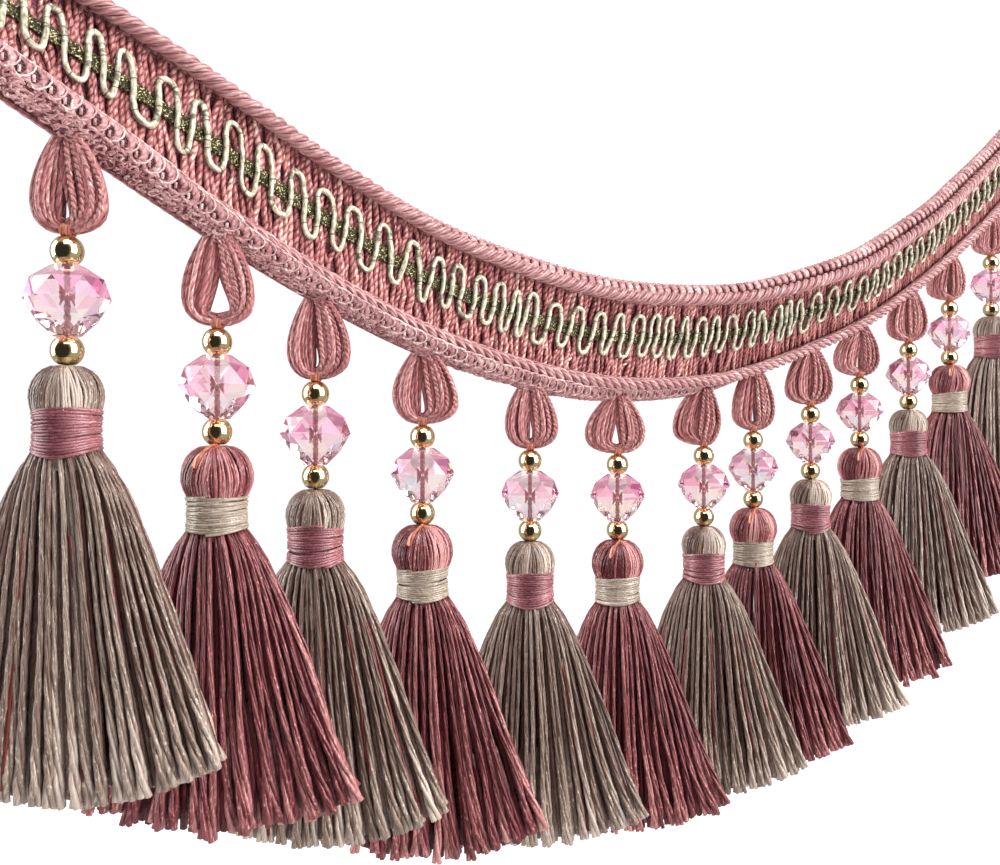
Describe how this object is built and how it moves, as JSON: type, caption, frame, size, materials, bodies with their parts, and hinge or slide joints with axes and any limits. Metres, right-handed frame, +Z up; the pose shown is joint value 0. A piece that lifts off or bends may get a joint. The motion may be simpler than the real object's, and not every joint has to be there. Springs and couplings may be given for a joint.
{
  "type": "beaded tassel fringe",
  "caption": "Hanging length of curtain fringe: a woven tape with twisted ropes and a cream wave cord carries yarn tassels on loops with gold and clear pink beads.",
  "frame": {"origin": "the upper edge of the tape's face at its left end, where the length is held up", "axes": "+X from the tape's left end to its right end, +Y away from the face, +Z up"},
  "size_m": [0.3016, 0.0364, 0.1807],
  "materials": {
    "tape_cloth": "dusty rose woven tape with shiny across yarns",
    "rope_yarn": "dusty rose twisted rope",
    "olive_braid": "olive metallic flat braid",
    "cream_cord": "cream gimp cord",
    "loop_yarn": "dusty rose shiny yarn",
    "crystal": "clear pink faceted bead",
    "gold": "polished gold bead",
    "taupe_yarn": "taupe satin yarn",
    "rose_yarn": "deep rose satin yarn",
    "pink_wrap": "dusty pink wound thread",
    "cream_wrap": "cream wound thread"
  },
  "bodies": {
    "root": {"tape": "tape_cloth", "top_rope": "rope_yarn", "lower_rope": "rope_yarn", "centre_braid": "olive_braid", "wave_cord": "cream_cord", "loop_01": "loop_yarn", "bead_string_01": "crystal", "tassel_01": "taupe_yarn", "neck_wrap_01": "pink_wrap", "loop_02": "loop_yarn", "bead_string_02": "crystal", "tassel_02": "rose_yarn", "neck_wrap_02": "cream_wrap", "loop_03": "loop_yarn", "bead_string_03": "crystal", "tassel_03": "taupe_yarn", "neck_wrap_03": "pink_wrap", "loop_04": "loop_yarn", "bead_string_04": "crystal", "tassel_04": "rose_yarn", "neck_wrap_04": "cream_wrap", "loop_05": "loop_yarn", "bead_string_05": "crystal", "tassel_05": "taupe_yarn", "neck_wrap_05": "pink_wrap", "loop_06": "loop_yarn", "bead_string_06": "crystal", "tassel_06": "rose_yarn", "neck_wrap_06": "cream_wrap", "loop_07": "loop_yarn", "bead_string_07": "crystal", "tassel_07": "taupe_yarn", "neck_wrap_07": "pink_wrap", "loop_08": "loop_yarn", "bead_string_08": "crystal", "tassel_08": "rose_yarn", "neck_wrap_08": "cream_wrap", "loop_09": "loop_yarn", "bead_string_09": "crystal", "tassel_09": "taupe_yarn", "neck_wrap_09": "pink_wrap", "loop_10": "loop_yarn", "bead_string_10": "crystal", "tassel_10": "rose_yarn", "neck_wrap_10": "cream_wrap", "loop_11": "loop_yarn", "bead_string_11": "crystal", "tassel_11": "taupe_yarn", "neck_wrap_11": "pink_wrap", "loop_12": "loop_yarn", "bead_string_12": "crystal", "tassel_12": "rose_yarn", "neck_wrap_12": "cream_wrap", "loop_13": "loop_yarn", "bead_string_13": "crystal", "tassel_13": "taupe_yarn", "neck_wrap_13": "pink_wrap"}
  },
  "joints": []
}
